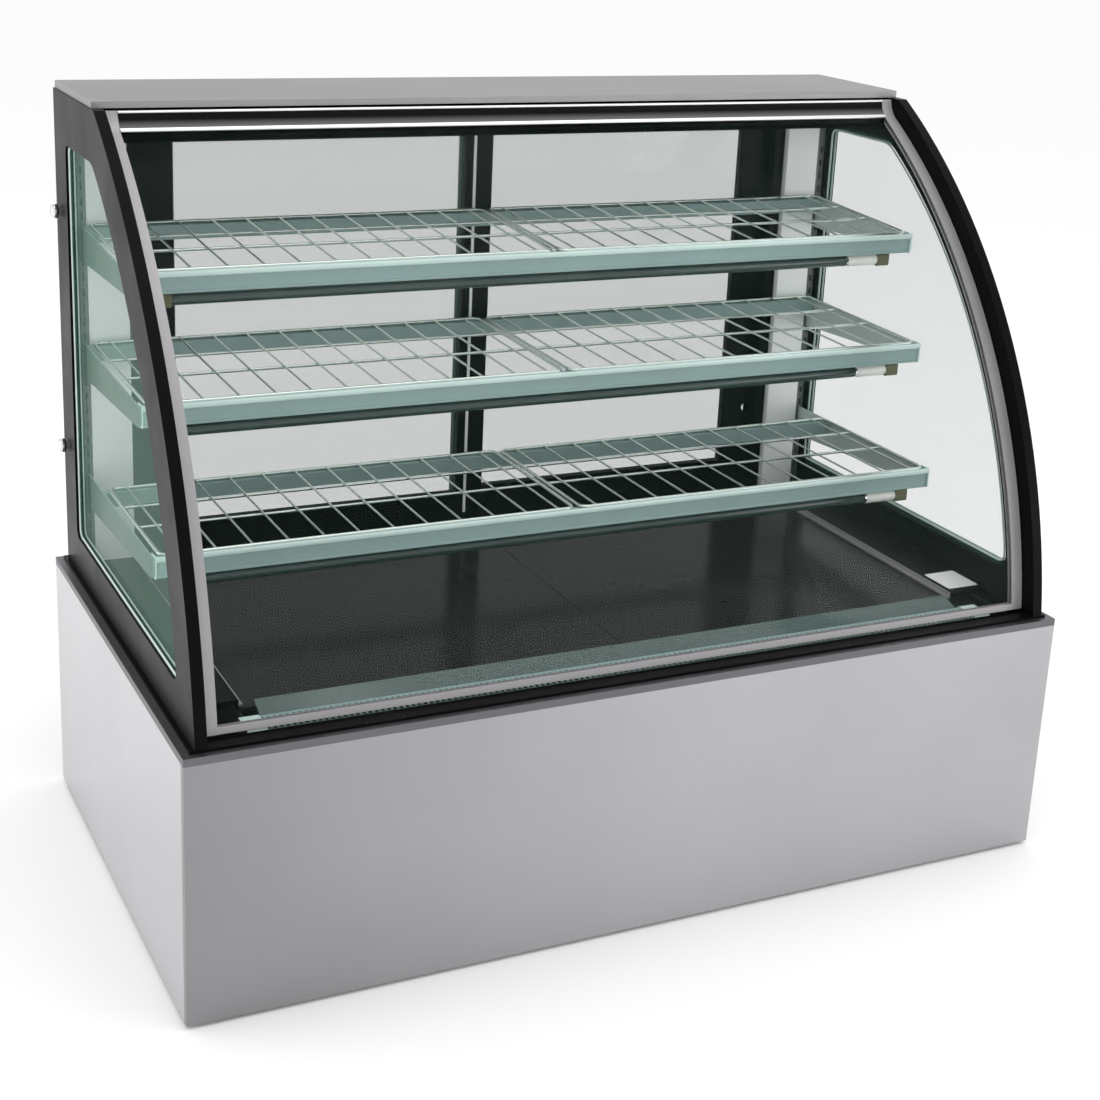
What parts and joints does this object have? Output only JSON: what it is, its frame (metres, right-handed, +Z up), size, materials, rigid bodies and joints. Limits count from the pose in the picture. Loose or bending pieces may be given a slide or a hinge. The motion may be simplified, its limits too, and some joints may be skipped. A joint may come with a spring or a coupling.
{
  "type": "glass display showcase",
  "caption": "Counter display showcase with a curved tilting front glass, sliding rear glass doors, tiered wire shelves and a brushed steel base.",
  "frame": {"origin": "middle of the footprint, on the floor under the levelling feet", "axes": "+Z up, +X to the right seen from the customer side, -Y is the curved front"},
  "size_m": [1.5, 0.825, 1.24],
  "materials": {
    "stainless": "vertical brushed",
    "cap_steel": "lengthwise brushed",
    "rim_steel": "brushed, darker fold",
    "galvanised": "dull zinc",
    "frame_black": "satin dark grey paint",
    "trim_black": "gloss black",
    "trim_silver": "satin anodised",
    "glass_clear": "clear, green edge",
    "glass_side": "double pane, green tint",
    "glass_rear": "clear double pane",
    "glass_lip": "grey green tint",
    "deck_glass": "gloss black toughened",
    "shelf_rail": "satin zinc",
    "wire": "bright plated",
    "upright": "dark grey",
    "jamb": "bright",
    "lamp": "tinted tube",
    "chrome": "polished",
    "rubber": "matte",
    "black_plastic": "moulded",
    "red_plastic": "translucent red",
    "green_plastic": "translucent green"
  },
  "bodies": {
    "cabinet": {"air_grille": "shelf_rail", "base_back_panel": "stainless", "base_floor_pan": "galvanised", "base_front_panel": "stainless", "base_side_left": "stainless", "base_side_right": "stainless", "base_top_rim": "rim_steel", "case_sill": "trim_black", "control_box": "black_plastic", "corner_posts": "galvanised", "deck_panel_left": "deck_glass", "deck_panel_right": "deck_glass", "deck_trims": "trim_silver", "end_covers": "frame_black", "fan_housing": "black_plastic", "glass_lip": "glass_lip", "header_beam": "trim_black", "heater_element": "chrome", "leveling_feet": "rubber", "panel_screws": "chrome", "plenum_tray": "galvanised", "power_inlet": "black_plastic", "rear_jambs": "jamb", "rear_side_channels": "trim_black", "rear_track_bottom": "trim_black", "rear_track_top": "trim_black", "shelf_lamps": "lamp", "shelf_lower_frame": "shelf_rail", "shelf_lower_rack_left": "wire", "shelf_lower_rack_right": "wire", "shelf_middle_frame": "shelf_rail", "shelf_middle_rack_left": "wire", "shelf_middle_rack_right": "wire", "shelf_top_frame": "shelf_rail", "shelf_top_rack_left": "wire", "shelf_top_rack_right": "wire", "side_bolts": "chrome", "side_frame_left": "frame_black", "side_frame_right": "frame_black", "side_glass_left": "glass_side", "side_glass_right": "glass_side", "slotted_uprights": "upright", "top_cap": "cap_steel"},
    "front_glass_unit": {"front_glass": "glass_clear", "front_trim_left": "trim_silver", "front_trim_right": "trim_silver", "front_trim_bottom": "trim_silver", "front_trim_top": "trim_black", "front_hinge_pins": "chrome"},
    "door_left": {"door_left_frame": "trim_black", "door_left_glass": "glass_rear", "door_left_pull": "chrome"},
    "door_right": {"door_right_frame": "trim_black", "door_right_glass": "glass_rear", "door_right_pull": "chrome"},
    "lock": {"door_lock": "chrome"},
    "fan": {"fan_rotor": "black_plastic"},
    "thermostat": {"thermostat_knob": "black_plastic"},
    "heat_rocker": {"heat_switch": "red_plastic"},
    "light_rocker": {"light_switch": "green_plastic"}
  },
  "joints": [
    {"name": "front_glass_tilt", "type": "hinge", "parent": "cabinet", "child": "front_glass_unit", "pos_m": [0, -0.36518, 0.43661], "axis": [1, 0, 0], "range_deg": [0, 45]},
    {"name": "door_left_slide", "type": "slide", "parent": "cabinet", "child": "door_left", "axis": [1, 0, 0], "range_m": [0, 0.6]},
    {"name": "door_right_slide", "type": "slide", "parent": "cabinet", "child": "door_right", "axis": [-1, 0, 0], "range_m": [0, 0.6]},
    {"name": "lock_turn", "type": "hinge", "parent": "door_right", "child": "lock", "pos_m": [0.6, 0.3855, 0.592], "axis": [0, 1, 0], "range_deg": [0, 90]},
    {"name": "fan_spin", "type": "hinge", "parent": "cabinet", "child": "fan", "pos_m": [0, 0.0195, 0.2902], "axis": [0, 0, 1], "continuous": true},
    {"name": "thermostat_turn", "type": "hinge", "parent": "cabinet", "child": "thermostat", "pos_m": [0.15, 0.3875, 0.185], "axis": [0, -1, 0], "range_deg": [0, 270]},
    {"name": "heat_rock", "type": "hinge", "parent": "cabinet", "child": "heat_rocker", "pos_m": [0.22, 0.3875, 0.185], "axis": [-1, 0, 0], "range_deg": [0, 20]},
    {"name": "light_rock", "type": "hinge", "parent": "cabinet", "child": "light_rocker", "pos_m": [0.29, 0.3875, 0.185], "axis": [-1, 0, 0], "range_deg": [0, 20]}
  ]
}
